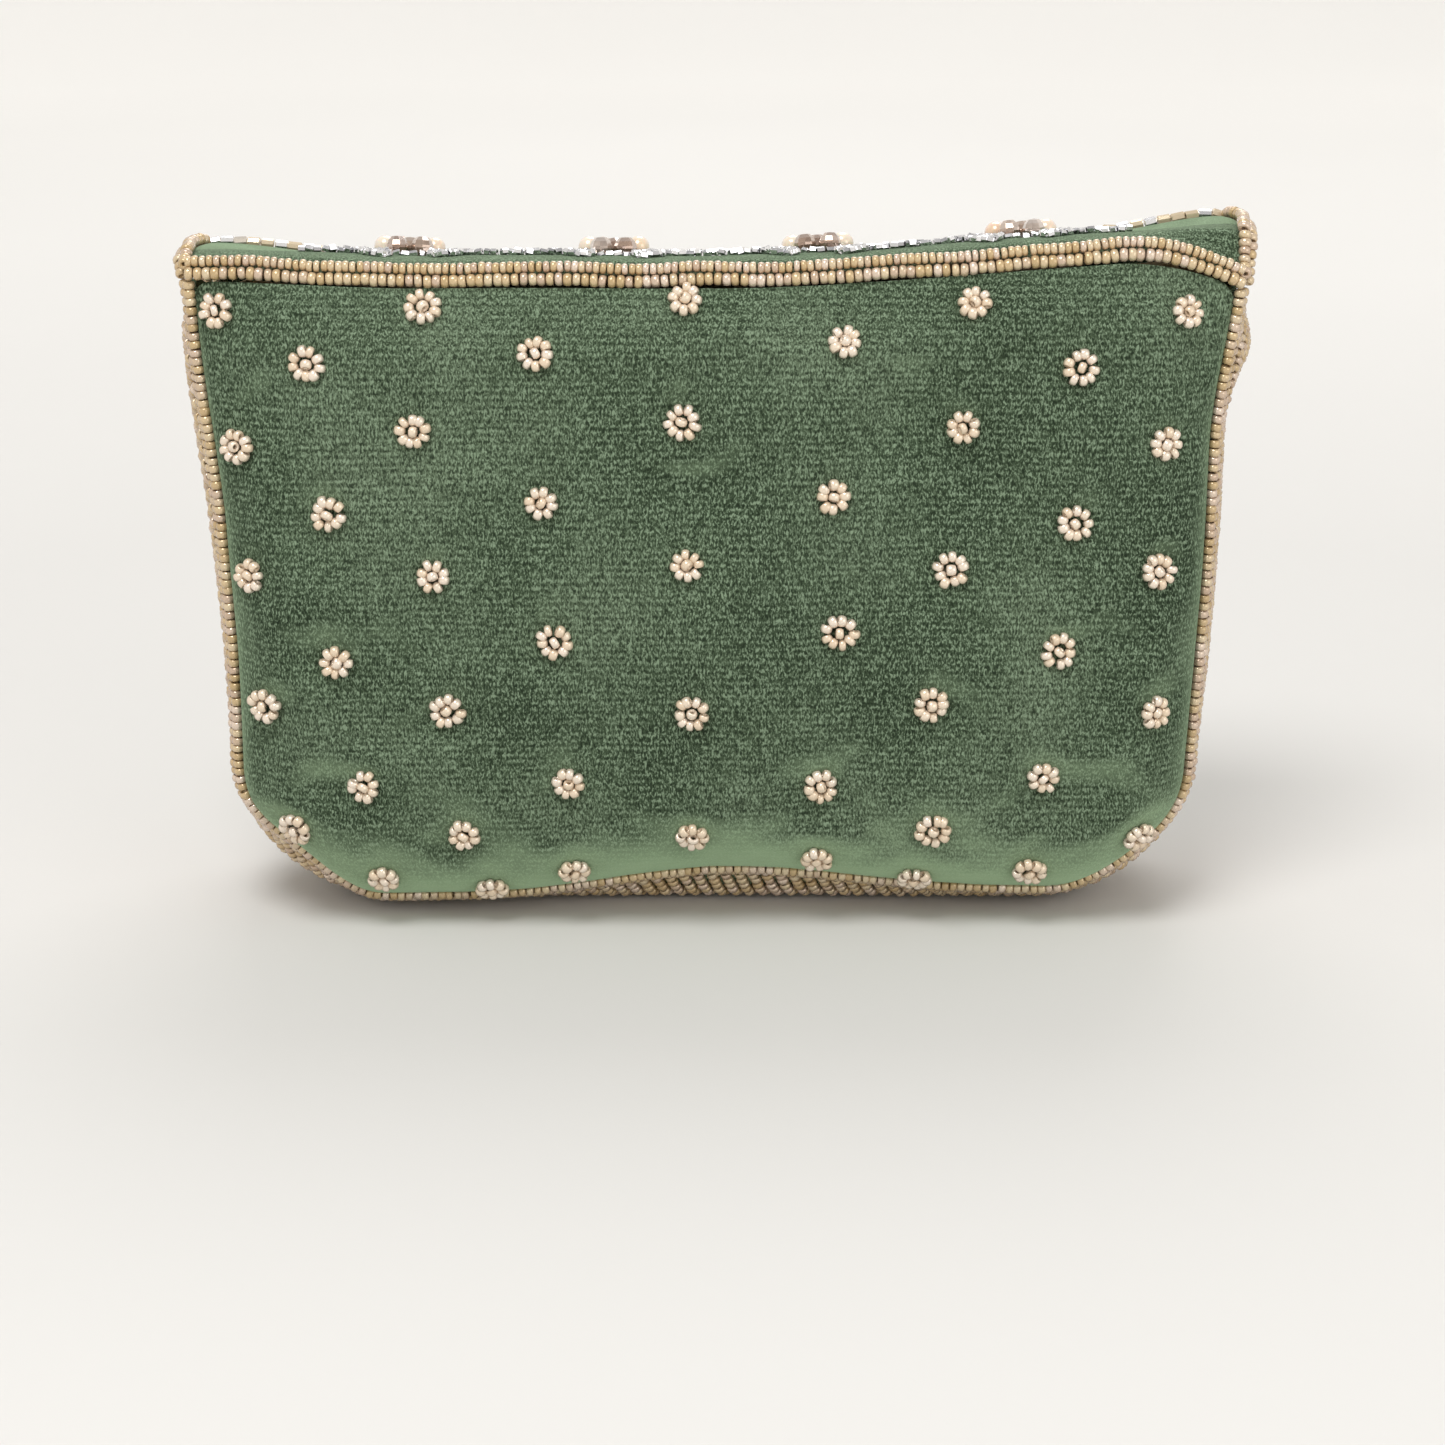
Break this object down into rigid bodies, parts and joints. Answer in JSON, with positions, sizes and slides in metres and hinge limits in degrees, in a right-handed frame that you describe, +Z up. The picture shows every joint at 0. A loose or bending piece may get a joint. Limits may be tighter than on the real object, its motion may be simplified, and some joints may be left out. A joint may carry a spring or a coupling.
{
  "type": "evening bag",
  "caption": "Small flap-over evening clutch in padded velvet with rounded lower corners, a bead-covered gusset, bead-string seams, bead flowers and a magnetic snap.",
  "frame": {"origin": "on the floor under the middle of the gusset, at the middle of the bag's width and between its back and front seams", "axes": "+Z up, +X along the width to the right seen from the plain back, +Y from the plain back to the embroidered flap"},
  "size_m": [0.1834, 0.0576, 0.1213],
  "materials": {
    "velvet": "short knitted velvet pile",
    "foam": "open-cell wadding",
    "board": "grey board",
    "satin": "satin weave",
    "seed_bead": "opaque lustre glass",
    "cut_bead": "silver-lined cut glass",
    "pearl": "pearl lacquer",
    "crystal": "faceted, foil-backed",
    "snap_metal": "light gold plate",
    "magnet": "nickel plate"
  },
  "bodies": {
    "bag_body": {"back_velvet": "velvet", "back_foam": "foam", "back_board": "board", "front_velvet": "velvet", "front_foam": "foam", "front_board": "board", "gusset_velvet": "velvet", "base_board": "board", "lining_back": "satin", "lining_front": "satin", "lining_gusset": "satin", "slip_pocket": "satin", "gusset_beads_left": "seed_bead", "gusset_beads_foot": "seed_bead", "gusset_beads_right": "seed_bead", "back_rim_beads": "seed_bead", "back_gusset_beads": "seed_bead", "front_rim_beads": "seed_bead", "front_gusset_beads": "seed_bead", "hinge_beads_lower": "seed_bead", "hinge_beads_upper": "seed_bead", "back_bead_flowers": "seed_bead", "front_bead_flowers": "seed_bead", "snap_socket": "snap_metal", "snap_magnet": "magnet", "snap_socket_washer": "snap_metal"},
    "flap_top": {"flap_top_velvet": "velvet", "flap_top_interlining": "foam", "flap_top_lining": "satin", "flap_fold_velvet": "velvet", "flap_top_side_beads": "seed_bead", "flap_ridge_beads": "cut_bead", "flap_top_pearls": "pearl", "flap_top_crystals": "crystal", "flap_top_silverwork": "cut_bead"},
    "flap_front": {"flap_front_velvet": "velvet", "flap_front_foam": "foam", "flap_front_board": "board", "flap_front_lining": "satin", "flap_edge_beads_outer": "seed_bead", "flap_edge_beads_inner": "seed_bead", "flap_front_pearls": "pearl", "flap_front_crystals": "crystal", "flap_front_silverwork": "cut_bead", "snap_stud": "snap_metal", "snap_stud_washer": "snap_metal"}
  },
  "joints": [
    {"name": "flap_back_fold", "type": "hinge", "parent": "bag_body", "child": "flap_top", "pos_m": [0, -0.0184, 0.1182], "axis": [1, 0, 0], "range_deg": [0, 175]},
    {"name": "flap_front_fold", "type": "hinge", "parent": "flap_top", "child": "flap_front", "pos_m": [0, 0.0245, 0.1145], "axis": [1, 0, 0], "range_deg": [0, 120]}
  ]
}
